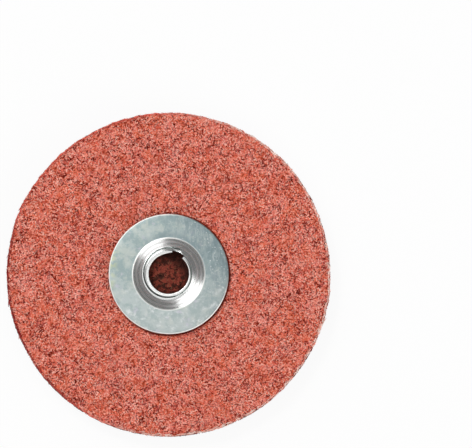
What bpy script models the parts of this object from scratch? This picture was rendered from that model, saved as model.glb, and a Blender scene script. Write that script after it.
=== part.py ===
"""A quick-change surface conditioning disc with a threaded steel hub.

The disc lies flat with its abrasive web down and its hub up. Four pieces are
bonded in a stack: the nonwoven abrasive web, the felt backing, a ring of
adhesive and the stamped hub. The origin is the centre of the web's working
face, +Z runs up the hub's axis, and every size is in metres.
"""

import math
import random

import bmesh
import bpy
from mathutils import Vector, noise

# The fabric, die-cut as one disc
DISC_DIAMETER = 0.0762
WEB_THICKNESS = 0.0046
FELT_THICKNESS = 0.0015
FELT_EDGE_ROUND = 0.0003

# The web's open surface and its ragged cut edge
TOOTH_PITCH = 0.0023
TOOTH_DEPTH = 0.0007
VOID_SPREAD = 0.0058
VOID_DEPTH = 0.0012
FIBRE_LAND = 0.10
VOID_REACH = 0.32
SHALLOW_TOOTH = 0.35
WEB_ROWS = 3

# The stamped hub: a flat flange with a raised, hollow boss
FLANGE_DIAMETER = 0.0282
SHEET_THICKNESS = 0.0007
BOSS_BASE_DIAMETER = 0.0169
BOSS_TOP_DIAMETER = 0.0124
BOSS_HEIGHT = 0.0019
BASE_FILLET = 0.0006
SHOULDER_ROUND = 0.0009
FLANGE_EDGE_ROUND = 0.0003

# The socket, whose slit lip is the single turn of thread
SOCKET_DIAMETER = 0.0094
LIP_EDGE_ROUND = 0.0002
LIP_BEND_SHARE = 0.67
THREAD_PITCH = 0.0012
SLIT_WIDTH = 0.0026
SLIT_REACH = 0.0008
SLIT_CORNER = 0.0005
SLIT_ANGLE = math.radians(65.0)

# The ring of adhesive under the flange
ADHESIVE_THICKNESS = 0.0003
ADHESIVE_SETBACK = 0.0005

# Clearance between bonded faces, which keeps the solids apart
SEAT_GAP = 0.0003

# Facets
HUB_STEPS = 72
ARC_STEPS = 3
EDGE_STEPS = 2
LIP_STEPS = 3
FELT_SEGMENTS = 104
MERGE_DISTANCE = 0.00001
SEED = 7

# Where each layer starts, counted up from the working face
FELT_BASE = WEB_THICKNESS + SEAT_GAP
FELT_TOP = FELT_BASE + FELT_THICKNESS
ADHESIVE_BASE = FELT_TOP + SEAT_GAP
FLANGE_BASE = ADHESIVE_BASE + ADHESIVE_THICKNESS + SEAT_GAP
FLANGE_TOP = FLANGE_BASE + SHEET_THICKNESS
BOSS_TOP = FLANGE_TOP + BOSS_HEIGHT

# The boss's wall: how far a bend in it of unit radius reaches, and its underside's step inwards
BOSS_SLOPE = math.atan2(BOSS_HEIGHT, (BOSS_BASE_DIAMETER - BOSS_TOP_DIAMETER) / 2)
HALF_SLOPE = math.tan(BOSS_SLOPE / 2)
UNDERSIDE_STEP = SHEET_THICKNESS * HALF_SLOPE


def clear_scene():
    """Removes the objects that the file opened with."""
    for obj in list(bpy.data.objects):
        bpy.data.objects.remove(obj, do_unlink=True)


def new_collection(name):
    """Adds a collection to the scene."""
    collection = bpy.data.collections.new(name)
    bpy.context.scene.collection.children.link(collection)
    return collection


def move_to(obj, collection):
    """Puts an object in one collection only."""
    for old in list(obj.users_collection):
        old.objects.unlink(obj)
    collection.objects.link(obj)


def material(name, colour, roughness, metallic=0.0):
    """A plain Principled BSDF material."""
    made = bpy.data.materials.new(name)
    made.use_nodes = True
    shader = made.node_tree.nodes["Principled BSDF"]
    shader.inputs["Base Color"].default_value = (*colour, 1.0)
    shader.inputs["Roughness"].default_value = roughness
    shader.inputs["Metallic"].default_value = metallic
    return made


def arc_through(before, corner, after, radius, steps):
    """Points that round a corner of an outline with an arc of the given radius."""
    if radius <= 0:
        return [corner]
    to_before = math.atan2(before[1] - corner[1], before[0] - corner[0])
    to_after = math.atan2(after[1] - corner[1], after[0] - corner[0])
    opening = (to_after - to_before + math.pi) % (2 * math.pi) - math.pi
    middle = to_before + opening / 2
    to_centre = radius / math.sin(abs(opening) / 2)
    centre = (
        corner[0] + to_centre * math.cos(middle),
        corner[1] + to_centre * math.sin(middle),
    )
    turn = math.copysign(math.pi - abs(opening), -opening)
    first = middle + math.pi - turn / 2
    return [
        (
            centre[0] + radius * math.cos(first + turn * k / steps),
            centre[1] + radius * math.sin(first + turn * k / steps),
        )
        for k in range(steps + 1)
    ]


def rounded_outline(corners):
    """A closed outline of (radius, height) points, from corners given with a rounding and its steps."""
    outline = []
    for k, (r, z, rounding, steps) in enumerate(corners):
        before, after = corners[k - 1], corners[(k + 1) % len(corners)]
        outline += arc_through(before[:2], (r, z), after[:2], rounding, steps)
    return outline


def turned(name, outline, steps, collection):
    """Turns a closed outline of (radius, height) points round the Z axis with a Screw modifier."""
    mesh = bpy.data.meshes.new(name)
    rim = bmesh.new()
    points = [rim.verts.new((r, 0.0, z)) for r, z in outline]
    for k, point in enumerate(points):
        rim.edges.new((point, points[(k + 1) % len(points)]))
    rim.to_mesh(mesh)
    rim.free()
    obj = bpy.data.objects.new(name, mesh)
    collection.objects.link(obj)
    screw = obj.modifiers.new("turn", "SCREW")
    screw.steps = screw.render_steps = steps
    screw.use_merge_vertices = True
    screw.merge_threshold = MERGE_DISTANCE
    return obj


def with_modifiers_applied(obj):
    """Replaces an object's mesh with the one that its modifiers make."""
    bpy.context.view_layer.update()
    graph = bpy.context.evaluated_depsgraph_get()
    made = bpy.data.meshes.new_from_object(obj.evaluated_get(graph))
    obj.modifiers.clear()
    obj.data = made
    return obj


def smooth(obj, sharp_above=math.radians(35)):
    """Shades an object smooth and keeps its real edges sharp."""
    obj.data.shade_smooth()
    obj.data.set_sharp_from_angle(angle=sharp_above)


def felt_backing(collection):
    """The felt disc that carries the hub, with the soft corners of a die-cut edge."""
    bpy.ops.mesh.primitive_cylinder_add(
        vertices=FELT_SEGMENTS,
        radius=DISC_DIAMETER / 2,
        depth=FELT_THICKNESS,
        location=(0.0, 0.0, FELT_BASE + FELT_THICKNESS / 2),
    )
    felt = bpy.context.object
    felt.name = "felt_backing"
    edge = felt.modifiers.new("soft_edge", "BEVEL")
    edge.width = FELT_EDGE_ROUND
    edge.segments = 2
    move_to(felt, collection)
    felt.data.materials.append(material("salmon_felt", (0.55, 0.14, 0.10), 0.95))
    return felt


def web_blank():
    """The web as cut, built in rows from its working face up, with one flat face on top."""
    # Two points make one tooth, and four equal sides let the face be filled with a square grid.
    teeth = 4 * round(math.pi * DISC_DIAMETER / TOOTH_PITCH / 4)
    bpy.ops.mesh.primitive_circle_add(vertices=2 * teeth, radius=DISC_DIAMETER / 2)
    web = bpy.context.object
    web.name = "abrasive_web"
    bpy.ops.object.mode_set(mode="EDIT")
    bpy.ops.mesh.select_all(action="SELECT")
    bpy.ops.mesh.fill_grid(span=teeth // 2)
    for _ in range(WEB_ROWS):
        bpy.ops.mesh.extrude_region_move(
            TRANSFORM_OT_translate={"value": (0.0, 0.0, WEB_THICKNESS / WEB_ROWS)}
        )
    bpy.ops.mesh.dissolve_faces()
    bpy.ops.mesh.select_all(action="SELECT")
    bpy.ops.mesh.normals_make_consistent(inside=False)
    bpy.ops.object.mode_set(mode="OBJECT")
    return web


def edge_vertices(web):
    """The vertices on the web's cut edge."""
    rim = DISC_DIAMETER / 2 - MERGE_DISTANCE
    return [v for v in web.data.vertices if math.hypot(v.co.x, v.co.y) > rim]


def cut_teeth(web):
    """Draws every second point of the cut edge inwards, each by its own amount."""
    chance = random.Random(SEED)
    edge = edge_vertices(web)
    step = 2 * math.pi * (WEB_ROWS + 1) / len(edge)
    for vertex in edge:
        if round(math.atan2(vertex.co.y, vertex.co.x) / step) % 2:
            inward = TOOTH_DEPTH * chance.uniform(SHALLOW_TOOTH, 1.0)
            vertex.co.xy *= 1.0 - inward / (DISC_DIAMETER / 2)


def open_voids(web):
    """Leaves looped lands on the working face, where the fibres lie, and sinks the voids between them."""
    for vertex in web.data.vertices:
        if vertex.co.z > MERGE_DISTANCE:
            continue
        place = Vector((vertex.co.x, vertex.co.y, 0.0)) / VOID_SPREAD
        openness = (abs(noise.noise(place)) - FIBRE_LAND) / (VOID_REACH - FIBRE_LAND)
        vertex.co.z += VOID_DEPTH * min(max(openness, 0.0), 1.0)


def abrasive_web(collection):
    """The nonwoven web: a working face broken by voids, and a ragged cut edge."""
    web = web_blank()
    cut_teeth(web)
    open_voids(web)
    move_to(web, collection)
    web.data.materials.append(material("maroon_web", (0.075, 0.032, 0.030), 0.85))
    return web


def hub_adhesive(collection):
    """The ring of adhesive, under the flat part of the flange."""
    outer = FLANGE_DIAMETER / 2 - ADHESIVE_SETBACK
    inner = BOSS_BASE_DIAMETER / 2 + BASE_FILLET
    top = ADHESIVE_BASE + ADHESIVE_THICKNESS
    outline = [(outer, top), (outer, ADHESIVE_BASE), (inner, ADHESIVE_BASE), (inner, top)]
    ring = turned("hub_adhesive", outline, HUB_STEPS, collection)
    ring.data.materials.append(material("amber_adhesive", (0.30, 0.14, 0.06), 0.35))
    return ring


def lip_rings(flat_from):
    """Radii of the rings that let the lip bend, from where the top goes flat to the socket's rounded edge."""
    edge = SOCKET_DIAMETER / 2 + LIP_EDGE_ROUND
    return [flat_from + (edge - flat_from) * k / LIP_STEPS for k in range(LIP_STEPS)]


def hub_outline():
    """The section of the hub's sheet, from the flange's rim in to the socket and back underneath."""
    rim, socket = FLANGE_DIAMETER / 2, SOCKET_DIAMETER / 2
    base, top = BOSS_BASE_DIAMETER / 2, BOSS_TOP_DIAMETER / 2
    under_base, under_top = base - UNDERSIDE_STEP, top - UNDERSIDE_STEP
    under_boss = BOSS_TOP - SHEET_THICKNESS
    inside_round = max(SHOULDER_ROUND - SHEET_THICKNESS, LIP_EDGE_ROUND)
    rings = lip_rings(top - SHOULDER_ROUND * HALF_SLOPE)
    under_rings = lip_rings(under_top - inside_round * HALF_SLOPE)
    upper = [
        (rim, FLANGE_TOP, FLANGE_EDGE_ROUND, EDGE_STEPS),
        (base, FLANGE_TOP, BASE_FILLET, ARC_STEPS),
        (top, BOSS_TOP, SHOULDER_ROUND, ARC_STEPS),
        *[(r, BOSS_TOP, 0.0, 0) for r in rings],
        (socket, BOSS_TOP, LIP_EDGE_ROUND, EDGE_STEPS),
    ]
    under = [
        (socket, under_boss, LIP_EDGE_ROUND, EDGE_STEPS),
        *[(r, under_boss, 0.0, 0) for r in reversed(under_rings)],
        (under_top, under_boss, inside_round, ARC_STEPS),
        (under_base, FLANGE_BASE, BASE_FILLET + SHEET_THICKNESS, ARC_STEPS),
        (rim, FLANGE_BASE, FLANGE_EDGE_ROUND, EDGE_STEPS),
    ]
    return rounded_outline(upper + under)[::-1]


def slit_cutter(collection):
    """A round-cornered block that cuts the slit through the socket's lip."""
    inner = SOCKET_DIAMETER / 2 - 2 * SLIT_REACH
    outer = SOCKET_DIAMETER / 2 + SLIT_REACH
    middle = (inner + outer) / 2
    bpy.ops.mesh.primitive_cube_add(size=1.0)
    cutter = bpy.context.object
    cutter.name = "slit_cutter"
    cutter.scale = (outer - inner, SLIT_WIDTH, 2 * BOSS_HEIGHT)
    bpy.ops.object.transform_apply(location=False, rotation=False, scale=True)
    upright = bmesh.new()
    upright.from_mesh(cutter.data)
    ends = [
        e
        for e in upright.edges
        if all(v.co.x > 0 for v in e.verts) and e.verts[0].co.z * e.verts[1].co.z < 0
    ]
    bmesh.ops.bevel(
        upright, geom=ends, offset=SLIT_CORNER, segments=ARC_STEPS, affect="EDGES", profile=0.5
    )
    upright.to_mesh(cutter.data)
    upright.free()
    cutter.location = (middle * math.cos(SLIT_ANGLE), middle * math.sin(SLIT_ANGLE), BOSS_TOP)
    cutter.rotation_euler = (0.0, 0.0, SLIT_ANGLE)
    cutter.hide_render = True
    cutter.display_type = "WIRE"
    move_to(cutter, collection)
    return cutter


def climb_at(vertex, radius):
    """How far round its turn the lip is at a vertex: 0 at the slit's low side, 1 at its high side."""
    half_slit = math.asin(min(SLIT_WIDTH / 2 / radius, 1.0))
    past_slit = (math.atan2(vertex.co.y, vertex.co.x) - SLIT_ANGLE) % (2 * math.pi)
    before_slit = 2 * math.pi - past_slit
    if past_slit < half_slit:
        return (1.0 - past_slit / half_slit) / 2
    if before_slit < half_slit:
        return (1.0 + before_slit / half_slit) / 2
    return (past_slit - half_slit) / (2 * math.pi - 2 * half_slit)


def twist_lip(hub):
    """Bends the slit lip down on one side and up on the other, as one turn of a right-hand thread."""
    root, socket = BOSS_TOP_DIAMETER / 2, SOCKET_DIAMETER / 2
    bend = LIP_BEND_SHARE * (root - socket)
    for vertex in hub.data.vertices:
        radius = math.hypot(vertex.co.x, vertex.co.y)
        if radius < root:
            share = min((root - radius) / bend, 1.0)
            vertex.co.z += THREAD_PITCH * (climb_at(vertex, radius) - 0.5) * share


def metal_hub(collection, cutters):
    """The hub: one zinc-plated steel stamping, turned, slit and twisted into a thread."""
    hub = turned("metal_hub", hub_outline(), HUB_STEPS, collection)
    slit = hub.modifiers.new("slit", "BOOLEAN")
    slit.operation = "DIFFERENCE"
    slit.solver = "EXACT"
    slit.object = slit_cutter(cutters)
    with_modifiers_applied(hub)
    twist_lip(hub)
    smooth(hub)
    hub.data.materials.append(material("zinc_plate", (0.46, 0.53, 0.52), 0.35, metallic=1.0))
    return hub


def main():
    """Builds the disc's pieces, from the working face up."""
    clear_scene()
    disc = new_collection("surface_conditioning_disc")
    cutters = new_collection("cutters")
    abrasive_web(disc)
    felt_backing(disc)
    hub_adhesive(disc)
    metal_hub(disc, cutters)


if __name__ == "__main__":
    main()
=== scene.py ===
"""The looks of a quick-change surface conditioning disc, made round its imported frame.

The disc lies with its open abrasive web down and its threaded steel hub up. Every length is in metres and
every piece is built where the frame has it, so nothing is moved afterwards.
"""

import logging
import math
import random
from collections.abc import Callable, Iterable, Mapping, Sequence
from dataclasses import dataclass, field
from enum import Enum

import bmesh
import bpy
from mathutils import Matrix, Vector, noise


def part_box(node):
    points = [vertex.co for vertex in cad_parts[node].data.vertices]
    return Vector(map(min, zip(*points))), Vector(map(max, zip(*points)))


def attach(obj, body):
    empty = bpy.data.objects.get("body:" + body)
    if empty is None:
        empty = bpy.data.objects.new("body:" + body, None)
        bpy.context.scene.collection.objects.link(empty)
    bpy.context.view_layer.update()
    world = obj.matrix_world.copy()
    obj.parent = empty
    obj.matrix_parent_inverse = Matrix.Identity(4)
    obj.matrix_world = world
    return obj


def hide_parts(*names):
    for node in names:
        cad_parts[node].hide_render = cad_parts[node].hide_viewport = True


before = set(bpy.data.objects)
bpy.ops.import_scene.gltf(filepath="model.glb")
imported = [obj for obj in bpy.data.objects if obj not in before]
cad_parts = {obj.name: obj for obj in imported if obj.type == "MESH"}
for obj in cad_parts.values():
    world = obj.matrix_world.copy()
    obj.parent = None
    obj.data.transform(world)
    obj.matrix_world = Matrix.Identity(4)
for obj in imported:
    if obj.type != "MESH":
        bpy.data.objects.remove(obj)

BODY = "root"
TURN = 2 * math.pi
NEAR = 1e-5

HUB_RADIUS = 0.0141
SLIT_ANGLE = math.radians(65.0)
CREASE_OUTER = 0.00618
CREASE_INNER = 0.00505

Colour = tuple[float, float, float]
Direction = tuple[float, float, float]
Band = tuple[float, float, float]
Path = list[Vector]

log = logging.getLogger("disc")


def rgba(colour: Colour) -> tuple[float, float, float, float]:
    """A linear colour as a shader socket takes it."""
    return (*colour, 1.0)


@dataclass(frozen=True)
class Patches:
    """Soft noise over a surface, and the levels of it between which patches set in."""

    grain: float
    low: float = 0.0
    high: float = 1.0
    strength: float = 1.0
    detail: float = 2.0
    roughness: float = 0.5
    seed: float = 0.0
    stretch: Direction = (1.0, 1.0, 1.0)


@dataclass(frozen=True)
class Sweep:
    """A change that sets in along a direction, from none at its start to its whole strength at its end."""

    direction: Direction
    start: float
    end: float
    strength: float = 1.0


@dataclass(frozen=True)
class Rings:
    """Rings round the axis: their width, how fine their detail is, and how far they sway in and out."""

    width: float
    detail: float
    sway: float
    wander: Patches = Patches(0.0035, detail=1.0, seed=21.0)


class Signal:
    """A number that varies over a surface, which Python's arithmetic turns into Math nodes."""

    def __init__(self, recipe: "Recipe", socket: bpy.types.NodeSocket) -> None:
        """Wraps a socket.

        Args:
            recipe: The material that the socket belongs to.
            socket: The output socket that carries the number.
        """
        self.recipe = recipe
        self.socket = socket

    def _with(self, operation: str, *values: "Signal | float") -> "Signal":
        """Adds one Math node.

        Args:
            operation: The Math node's operation.
            *values: Its inputs in order.

        Returns:
            The node's result.
        """
        node = self.recipe.add("ShaderNodeMath", {"operation": operation}, dict(enumerate(values)))
        return Signal(self.recipe, node.outputs[0])

    def __add__(self, other: "Signal | float") -> "Signal":
        """The sum."""
        return self._with("ADD", self, other)

    def __sub__(self, other: "Signal | float") -> "Signal":
        """The difference."""
        return self._with("SUBTRACT", self, other)

    def __rsub__(self, other: float) -> "Signal":
        """The difference, from the right."""
        return self._with("SUBTRACT", other, self)

    def __mul__(self, other: "Signal | float") -> "Signal":
        """The product."""
        return self._with("MULTIPLY", self, other)

    def size(self) -> "Signal":
        """The number without its sign."""
        return self._with("ABSOLUTE", self)

    def between(self, low: float, high: float, strength: float = 1.0) -> "Signal":
        """How far the number lies from low to high, held between 0 and a strength.

        Args:
            low: The value that gives 0.
            high: The value that gives the strength, which may be the lower of the two.
            strength: What the share grows to.

        Returns:
            The share as a new signal.
        """
        settings = {"clamp": True, "interpolation_type": "SMOOTHSTEP"}
        ends = {"From Min": low, "From Max": high, "To Min": 0.0, "To Max": strength}
        if high < low:
            ends = {"From Min": high, "From Max": low, "To Min": strength, "To Max": 0.0}
        node = self.recipe.add("ShaderNodeMapRange", settings, {"Value": self, **ends})
        return Signal(self.recipe, node.outputs["Result"])


class Recipe:
    """The node tree of one material, with one method that adds any node."""

    def __init__(self, name: str) -> None:
        """Starts a material.

        Args:
            name: The material's name.
        """
        self.material = bpy.data.materials.new(name)
        self.material.use_nodes = True
        self.tree = self.material.node_tree
        self.shader = self.tree.nodes["Principled BSDF"]
        self.place = self.add("ShaderNodeTexCoord").outputs["Object"]

    def add(
        self,
        kind: str,
        settings: Mapping[str, object] | None = None,
        sockets: Mapping[int | str, object] | None = None,
    ) -> bpy.types.Node:
        """Adds a node.

        Args:
            kind: The node's type, such as ShaderNodeMix.
            settings: What is set on the node first.
            sockets: The value, signal or link of each input, by name or number.

        Returns:
            The new node.
        """
        node = self.tree.nodes.new(kind)
        for key, value in (settings or {}).items():
            setattr(node, key, value)
        for key, value in (sockets or {}).items():
            self.feed(node.inputs[key], value)
        return node

    def feed(self, socket: bpy.types.NodeSocket, value: object) -> None:
        """Sets or links one input.

        Args:
            socket: The input.
            value: A signal, an output socket or a plain value.
        """
        if isinstance(value, Signal):
            value = value.socket
        if isinstance(value, bpy.types.NodeSocket):
            self.tree.links.new(value, socket)
        else:
            socket.default_value = value

    def set(self, **inputs: object) -> None:
        """Sets or links inputs of the material's shader, named with _ for a space."""
        for name, value in inputs.items():
            self.feed(self.shader.inputs[name.replace("_", " ")], value)

    def blend(self, share: Signal | float, low: object, high: object) -> bpy.types.NodeSocket:
        """Mixes two colours.

        Args:
            share: How much of the second colour there is.
            low: The first colour, or a socket that carries it.
            high: The second colour, or a socket that carries it.

        Returns:
            The socket with the mixed colour.
        """
        low = rgba(low) if isinstance(low, tuple) else low
        high = rgba(high) if isinstance(high, tuple) else high
        node = self.add("ShaderNodeMix", {"data_type": "RGBA"}, {0: share, 6: low, 7: high})
        return node.outputs[2]

    def cloud(self, patches: Patches) -> Signal:
        """Soft noise on the object's own coordinates.

        Args:
            patches: The noise's grain, detail, roughness, seed and stretch.

        Returns:
            The noise, from 0 to 1.
        """
        scale = tuple(1.0 / s for s in patches.stretch)
        mapping = self.add(
            "ShaderNodeMapping",
            {"vector_type": "POINT"},
            {"Vector": self.place, "Location": (patches.seed,) * 3, "Scale": scale},
        )
        node = self.add(
            "ShaderNodeTexNoise",
            {"noise_dimensions": "3D"},
            {
                "Vector": mapping.outputs[0],
                "Scale": 1.0 / patches.grain,
                "Detail": patches.detail,
                "Roughness": patches.roughness,
            },
        )
        return Signal(self, node.outputs[0])

    def patched(self, patches: Patches) -> Signal:
        """Where patches lie, and how strong they are."""
        return self.cloud(patches).between(patches.low, patches.high, patches.strength)

    def rings(self, rings: Rings) -> Signal:
        """Noise that runs in rings round the axis, as a lathe or a drawing die leaves.

        Args:
            rings: The rings' width, detail and sway.

        Returns:
            The noise, from 0 to 1.
        """
        wander = self.cloud(rings.wander) * rings.sway
        node = self.add(
            "ShaderNodeTexNoise",
            {"noise_dimensions": "1D"},
            {"W": self.radius() + wander, "Scale": 1.0 / rings.width, "Detail": rings.detail},
        )
        return Signal(self, node.outputs[0])

    def along(self, direction: Direction) -> Signal:
        """How far a point lies along a direction, in metres."""
        unit = Vector(direction).normalized()
        dot = self.add("ShaderNodeVectorMath", {"operation": "DOT_PRODUCT"}, {0: self.place, 1: unit})
        return Signal(self, dot.outputs["Value"])

    def swept(self, sweep: Sweep) -> Signal:
        """How far a change that sets in along a direction has come at a point."""
        return self.along(sweep.direction).between(sweep.start, sweep.end, sweep.strength)

    def turned(self, start: float) -> Signal:
        """How far round the axis a point lies, as a share of a turn.

        Args:
            start: The azimuth at which the share starts from 0, in radians.

        Returns:
            The share, which grows anticlockwise.
        """
        spun = self.add(
            "ShaderNodeMapping",
            {"vector_type": "POINT"},
            {"Vector": self.place, "Rotation": (0.0, 0.0, math.pi - start)},
        )
        axes = self.add("ShaderNodeSeparateXYZ", {}, {0: spun.outputs[0]})
        across, ahead = axes.outputs[1], axes.outputs[0]
        azimuth = self.add("ShaderNodeMath", {"operation": "ARCTAN2"}, {0: across, 1: ahead})
        return Signal(self, azimuth.outputs[0]) * (1.0 / TURN) + 0.5

    def radius(self) -> Signal:
        """The distance from the disc's axis, in metres."""
        flat = self.add(
            "ShaderNodeVectorMath",
            {"operation": "MULTIPLY"},
            {0: self.place, 1: (1.0, 1.0, 0.0)},
        )
        length = self.add("ShaderNodeVectorMath", {"operation": "LENGTH"}, {0: flat.outputs[0]})
        return Signal(self, length.outputs["Value"])

    def net(self, mesh: float, strand: float, seed: float) -> Signal:
        """A net of crimped strands, drawn along the level lines of soft noise.

        Args:
            mesh: How wide the net's openings are in metres.
            strand: The share of an opening that a strand's width takes.
            seed: An offset that makes this net differ from the others.

        Returns:
            The net, 1 on a strand and 0 between the strands.
        """
        level = self.cloud(Patches(mesh, detail=1.0, roughness=0.4, seed=seed)) - 0.5
        return level.size().between(strand, strand * 0.35)

    def roughen(self, height: Signal, depth: float) -> None:
        """Turns a height into bumps on the material's surface.

        Args:
            height: The height, from 0 to 1.
            depth: The real depth of the bumps in metres.
        """
        bump = self.add("ShaderNodeBump", {}, {"Strength": 1.0, "Distance": depth, "Height": height})
        self.set(Normal=bump.outputs["Normal"])


@dataclass(frozen=True)
class FeltMottle:
    """The felt's broad mottle, the same on its body and on the fibres that lie on it."""

    matting: Patches = Patches(0.0022, detail=5.0, roughness=0.62, seed=30.0)
    thick: Band = (0.50, 0.64, 0.24)
    thin: Band = (0.48, 0.36, 0.24)
    rust: Patches = Patches(0.0026, 0.49, 0.61, 0.34, 4.0, 0.6, 34.0)
    deeper: Colour = (0.30, 0.034, 0.026)
    rusty: Colour = (0.84, 0.160, 0.070)
    paler: Colour = (0.98, 0.44, 0.38)

    def over(self, recipe: Recipe, colour: object) -> bpy.types.NodeSocket:
        """Mottles a colour.

        Args:
            recipe: The material that the colour is for.
            colour: The colour, or a socket that carries it.

        Returns:
            The socket with the mottled colour.
        """
        matting = recipe.cloud(self.matting)
        deeper = recipe.blend(matting.between(*self.thick), colour, self.deeper)
        rusty = recipe.blend(recipe.patched(self.rust), deeper, self.rusty)
        return recipe.blend(matting.between(*self.thin), rusty, self.paler)


@dataclass(frozen=True)
class HubShade:
    """The shade that the hub gives the felt, beside its rim and in its socket."""

    width: float = 0.0005
    away_from_light: Sweep = Sweep((1.0, -0.35, 0.0), -0.011, 0.004, 0.85)
    least: float = 0.1
    behind_slit: Sweep = Sweep((0.64, 0.77, 0.0), 0.0010, 0.0036)
    under_lip: Band = (0.0035, 0.0047, 0.65)

    def beside_rim(self, recipe: Recipe) -> Signal:
        """The narrow shade just outside the rim, deepest on the side away from the light."""
        near = recipe.radius().between(HUB_RADIUS + self.width, HUB_RADIUS + self.width / 2)
        return near * (recipe.swept(self.away_from_light) + self.least)

    def in_socket(self, recipe: Recipe) -> Signal:
        """The shade in the socket, under the lip and most behind the slit's high end."""
        return recipe.swept(self.behind_slit) + recipe.radius().between(*self.under_lip)


@dataclass(frozen=True)
class FeltFinish:
    """Needled felt: a mottle of matted fibres, paler and deeper than its own dye, with painted shade beside
    the hub's rim and in its socket.
    """

    name: str = "felt_body"
    dye: Colour = (0.79, 0.181, 0.130)
    orange: Colour = (0.81, 0.166, 0.096)
    pale: Colour = (0.98, 0.53, 0.43)
    deep: Colour = (0.20, 0.016, 0.008)
    # Painted shade: the felt in the hub's socket is drawn in the first of these dark colours, and its darkest
    # patches and deepest shade in the second.
    darkened: Colour = (0.28, 0.058, 0.038)
    dark_patch_and_shade: Colour = (0.050, 0.020, 0.015)
    olive: Colour = (0.24, 0.130, 0.070)
    blotches: Patches = Patches(0.0042, 0.38, 0.62, detail=3.0)
    flecks: Patches = Patches(0.00036, 0.50, 0.62, detail=1.0, seed=3.1)
    pits: Patches = Patches(0.000432, 0.50, 0.64, detail=1.0, seed=7.7)
    burnt: Patches = Patches(0.0012, 0.45, 0.57, detail=5.0, seed=15.0)
    mossy: Patches = Patches(0.0007, 0.58, 0.70, 0.7, seed=17.0)
    pile: Patches = Patches(0.00036, detail=3.0, roughness=0.7, seed=3.1)
    pile_depth: float = 0.0003
    socket_shade: float = 0.9
    # Painted shade: the radii over which the felt turns to its dark socket colour, inside the boss.
    socket_shade_band: Band = (0.0078, 0.0066, 0.92)
    mottle: FeltMottle = FeltMottle()
    shade: HubShade = HubShade()
    roughness: float = 0.95
    shine: float = 0.08

    def open_felt(self, recipe: Recipe) -> bpy.types.NodeSocket:
        """The colour of the open felt, round the hub."""
        dyed = recipe.blend(recipe.patched(self.blotches), self.dye, self.orange)
        flecked = recipe.blend(recipe.patched(self.flecks), dyed, self.pale)
        pitted = recipe.blend(recipe.patched(self.pits), flecked, self.deep)
        return recipe.blend(self.shade.beside_rim(recipe), self.mottle.over(recipe, pitted), self.deep)

    def darkened_felt(self, recipe: Recipe) -> bpy.types.NodeSocket:
        """The colour of the felt in the hub's socket: a dark colour painted for its shade, with darker and
        olive patches, and deeper painted shade under the lip and behind the slit's high end.
        """
        darkened = recipe.blend(recipe.patched(self.burnt), self.darkened, self.dark_patch_and_shade)
        mossy = recipe.blend(recipe.patched(self.mossy), darkened, self.olive)
        return recipe.blend(self.shade.in_socket(recipe) * self.socket_shade, mossy, self.dark_patch_and_shade)

    def material(self) -> bpy.types.Material:
        """Makes the felt's material."""
        recipe = Recipe(self.name)
        # Painted shade: inside the boss the felt turns to its dark socket colour.
        socket_shade_band = recipe.radius().between(*self.socket_shade_band)
        recipe.set(
            Base_Color=recipe.blend(socket_shade_band, self.open_felt(recipe), self.darkened_felt(recipe)),
            Roughness=self.roughness,
            Specular_IOR_Level=self.shine,
        )
        recipe.roughen(recipe.cloud(self.pile), self.pile_depth)
        return recipe.material


@dataclass(frozen=True)
class FibreFinish:
    """Dyed fibre, whose colour drifts a little from strand to strand."""

    name: str
    colour: Colour
    drift: Colour
    roughness: float = 0.8
    coat: float = 0.0
    shine: float = 0.4
    drifting: Patches = Patches(0.0008, 0.35, 0.65, seed=1.3)
    unevenness: Patches = Patches(0.0004, detail=1.0, seed=5.0)
    uneven_by: float = 0.3

    def dyed(self, recipe: Recipe) -> bpy.types.NodeSocket:
        """The fibre's colour, which drifts along it."""
        return recipe.blend(recipe.patched(self.drifting), self.colour, self.drift)

    def material(self) -> bpy.types.Material:
        """Makes the fibre's material."""
        recipe = Recipe(self.name)
        recipe.set(
            Base_Color=self.dyed(recipe),
            Roughness=recipe.cloud(self.unevenness) * self.uneven_by + (self.roughness - self.uneven_by / 2),
            Specular_IOR_Level=self.shine,
            Coat_Weight=self.coat,
            Coat_Roughness=0.2,
        )
        return recipe.material


class FibrePlace(Enum):
    """Where the felt's fibres of one kind lie."""

    OPEN = "over the open felt and its cut edge"
    # Painted shade: the felt and fibres in the socket are drawn dark as its shade; the adhesive ring does not
    # reach them.
    SOCKET = "in the hub's socket, where adhesive has soaked the felt"
    FRINGE = "along the upper corner of the cut edge, and out of it"


@dataclass(frozen=True)
class FeltFibreFinish(FibreFinish):
    """Matt felt fibre, which shares the felt's broad mottle and the hub's painted shade; on the fringe it has
    a painted light and a painted shade.
    """

    place: FibrePlace = FibrePlace.OPEN
    shine: float = 0.05
    shaded: Colour = (0.14, 0.018, 0.012)
    dye: Colour = (0.84, 0.19, 0.14)
    fringe_shade: Colour = (0.36, 0.036, 0.034)
    socket_shade: float = 0.85
    # Painted light and shade on the fringe: the first sweep turns its lit pale colour to the plain dye, the
    # second brings in a painted shade.
    unlit: Sweep = Sweep((1.0, -0.25, 0.0), 0.010, -0.014)
    fringe_shade_side: Sweep = Sweep((-0.95, -0.31, 0.0), 0.026, 0.037)
    mottle: FeltMottle = FeltMottle()
    shade: HubShade = HubShade()

    def dyed(self, recipe: Recipe) -> bpy.types.NodeSocket:
        """The fibre's colour, as its place on the felt changes it: painted shade in the socket and beside the
        hub's rim, and on the fringe its pale colour, painted as lit, on the right side, the plain dye towards
        the left and a painted shade on the lower left.
        """
        colour = super().dyed(recipe)
        if self.place is FibrePlace.SOCKET:
            return recipe.blend(self.shade.in_socket(recipe) * self.socket_shade, colour, self.colour)
        # Painted light and shade: the fringe stays pale where it is lit and darkens towards the lower left.
        if self.place is FibrePlace.FRINGE:
            plain = recipe.blend(recipe.swept(self.unlit), colour, self.dye)
            return recipe.blend(recipe.swept(self.fringe_shade_side), plain, self.fringe_shade)
        return recipe.blend(self.shade.beside_rim(recipe), self.mottle.over(recipe, colour), self.shaded)


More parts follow.
